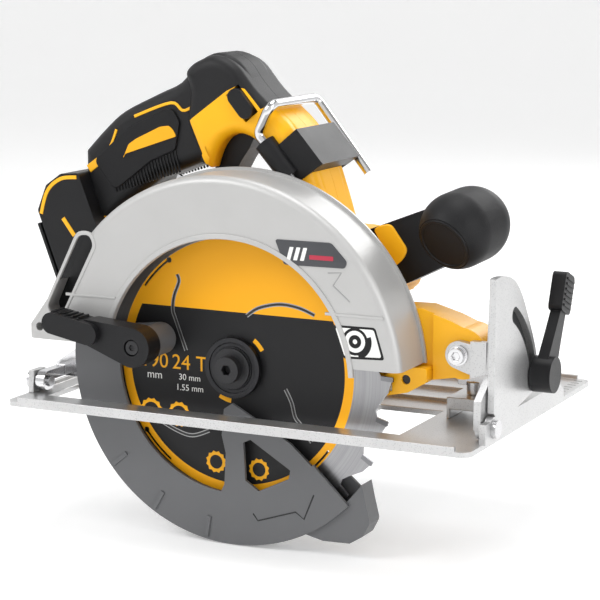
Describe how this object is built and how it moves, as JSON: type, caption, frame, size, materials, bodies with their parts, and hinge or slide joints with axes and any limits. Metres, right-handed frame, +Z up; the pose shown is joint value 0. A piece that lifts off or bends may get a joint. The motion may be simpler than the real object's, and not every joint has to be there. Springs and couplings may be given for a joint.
{
  "type": "circular saw",
  "caption": "Cordless circular saw with a guarded blade, sprung lower guard, tilting shoe with depth and bevel clamps, loop handle and rafter hook.",
  "frame": {"origin": "on the sole, in the handle's split plane, straight below the spindle axis", "axes": "+X is the cutting direction, +Y runs from the blade towards the motor, +Z is up"},
  "size_m": [0.3056, 0.208, 0.271],
  "materials": {
    "cast_silver": "satin cast",
    "guard_grey": "satin",
    "plate_silver": "satin",
    "yellow_plastic": "satin",
    "black_plastic": "matt",
    "black_rubber": "matt textured",
    "blade_steel": "brushed, printed face",
    "carbide": "ground",
    "steel": "turned",
    "black_steel": "black oxide",
    "chrome": "polished",
    "copper": "enamelled winding",
    "brass": "bright",
    "laminations": "stacked sheet",
    "lens": "clear",
    "board": "potted"
  },
  "bodies": {
    "saw_body": {"upper_guard": "cast_silver", "gear_case": "cast_silver", "gear_cover": "cast_silver", "motor_housing": "yellow_plastic", "motor_end_cap": "black_plastic", "stator_core": "laminations", "stator_windings": "copper", "front_spindle_bearing": "steel", "small_bearings": "steel", "handle_shell_right": "yellow_plastic", "handle_shell_left": "yellow_plastic", "grip_pads": "black_rubber", "hook_clamp": "black_plastic", "trigger_pin": "steel", "switch_module": "black_plastic", "battery_foot": "black_plastic", "battery_terminals": "brass", "control_module": "board", "front_handle_grip": "black_rubber", "front_handle_neck": "black_plastic", "front_arm": "yellow_plastic", "light_module": "yellow_plastic", "light_lens": "lens", "housing_screws": "black_steel", "gear_case_screws": "steel", "guard_screws": "steel", "guard_spring": "steel", "guard_retaining_ring": "steel", "depth_stud": "steel"},
    "blade_set": {"saw_blade": "blade_steel", "carbide_tips": "carbide", "inner_flange": "steel", "outer_flange": "black_steel", "blade_bolt": "black_steel", "spindle": "steel", "drive_gear": "steel"},
    "rotor": {"pinion": "steel", "rotor_shaft": "steel", "rotor_core": "laminations", "cooling_fan": "black_plastic"},
    "lower_guard_set": {"lower_guard": "guard_grey", "guard_lever": "black_plastic", "guard_lever_screw": "black_steel"},
    "carriage": {"front_bracket": "plate_silver", "depth_bracket": "chrome", "bevel_stud": "steel", "depth_pivot_bolt": "chrome", "bevel_pivot_pins": "steel"},
    "shoe_set": {"shoe": "plate_silver", "bevel_quadrant": "plate_silver", "shoe_rivets": "steel", "rear_pivot_lug": "plate_silver", "fence_guide": "plate_silver"},
    "fence_clamp": {"fence_screw": "steel"},
    "bevel_clamp": {"bevel_lever": "black_plastic"},
    "depth_clamp": {"depth_lever": "black_plastic"},
    "trigger_body": {"trigger": "black_plastic"},
    "lock_off": {"lock_off_button": "black_plastic"},
    "spindle_lock": {"spindle_lock_button": "black_plastic"},
    "hook": {"rafter_hook": "chrome"}
  },
  "joints": [
    {"name": "blade_spin", "type": "hinge", "parent": "saw_body", "child": "blade_set", "pos_m": [0, -0.042, 0.028], "axis": [0, 1, 0], "continuous": true},
    {"name": "rotor_spin", "type": "hinge", "parent": "saw_body", "child": "rotor", "pos_m": [0.00634, -0.042, 0.05167], "axis": [0, 1, 0], "continuous": true},
    {"name": "lower_guard_swing", "type": "hinge", "parent": "saw_body", "child": "lower_guard_set", "pos_m": [0, -0.042, 0.028], "axis": [0, 1, 0], "range_deg": [0, 110], "stiffness_Nm_per_rad": 0.15, "springref_deg": -80.21},
    {"name": "depth_swing", "type": "hinge", "parent": "saw_body", "child": "carriage", "pos_m": [0.13, -0.021, 0.045], "axis": [0, -1, 0], "range_deg": [0, 29]},
    {"name": "bevel_tilt", "type": "hinge", "parent": "carriage", "child": "shoe_set", "pos_m": [0, -0.046, 0.0095], "axis": [-1, 0, 0], "range_deg": [0, 45]},
    {"name": "bevel_clamp_turn", "type": "hinge", "parent": "carriage", "child": "bevel_clamp", "pos_m": [0.16, 0.01425, 0.02792], "axis": [-1, 0, 0], "range_deg": [0, 40]},
    {"name": "depth_clamp_turn", "type": "hinge", "parent": "saw_body", "child": "depth_clamp", "pos_m": [-0.0543, -0.022, 0.02888], "axis": [0, -1, 0], "range_deg": [0, 30]},
    {"name": "fence_clamp_turn", "type": "hinge", "parent": "shoe_set", "child": "fence_clamp", "pos_m": [0.123, 0.005, 0.02], "axis": [0, 0, 1], "range_deg": [0, 360]},
    {"name": "trigger_pull", "type": "hinge", "parent": "saw_body", "child": "trigger_body", "pos_m": [-0.016, 0, 0.159], "axis": [0, 1, 0], "range_deg": [0, 9], "stiffness_Nm_per_rad": 0.3, "springref_deg": -11.46},
    {"name": "lock_off_slide", "type": "slide", "parent": "saw_body", "child": "lock_off", "axis": [0, 1, 0], "range_m": [-0.0025, 0.0025], "stiffness_N_per_m": 300},
    {"name": "spindle_lock_press", "type": "slide", "parent": "saw_body", "child": "spindle_lock", "axis": [1, 0, 0], "range_m": [0, 0.003], "stiffness_N_per_m": 300, "springref_m": -0.002},
    {"name": "hook_swing", "type": "hinge", "parent": "saw_body", "child": "hook", "pos_m": [0.009, -0.0234, 0.151], "axis": [0.66, 0, -0.7513], "range_deg": [0, 110]}
  ],
  "couplings": [
    {"joint": "rotor_spin", "follows": "blade_spin", "ratio": -4.4444}
  ]
}
